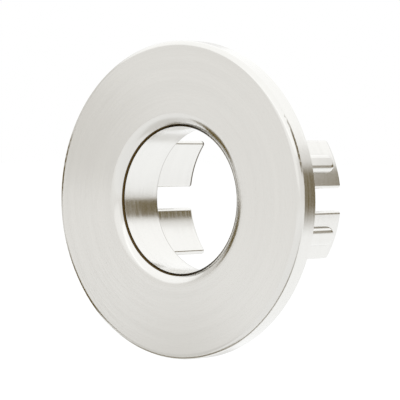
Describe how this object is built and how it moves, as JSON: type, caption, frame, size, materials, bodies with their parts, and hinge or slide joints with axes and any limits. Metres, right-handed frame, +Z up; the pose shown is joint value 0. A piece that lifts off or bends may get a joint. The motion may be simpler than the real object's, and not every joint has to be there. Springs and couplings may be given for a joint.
{
  "type": "basin overflow ring",
  "caption": "Round flanged trim ring for a basin's overflow hole, with an open middle, a short collar and spring fingers behind that grip the hole.",
  "frame": {"origin": "on the ring's axis, in the plane of the flange's back, which rests on the basin's wall", "axes": "+Y along the ring's axis, from the flange towards the fingers' tips, so the front face looks to -Y; +Z up, square to the side slots, which lie to +X and -X"},
  "size_m": [0.034, 0.0143, 0.034],
  "materials": {
    "nickel": "brushed, warm grey, rings round the axis on the face"
  },
  "bodies": {
    "root": {"overflow_ring": "nickel"}
  },
  "joints": []
}
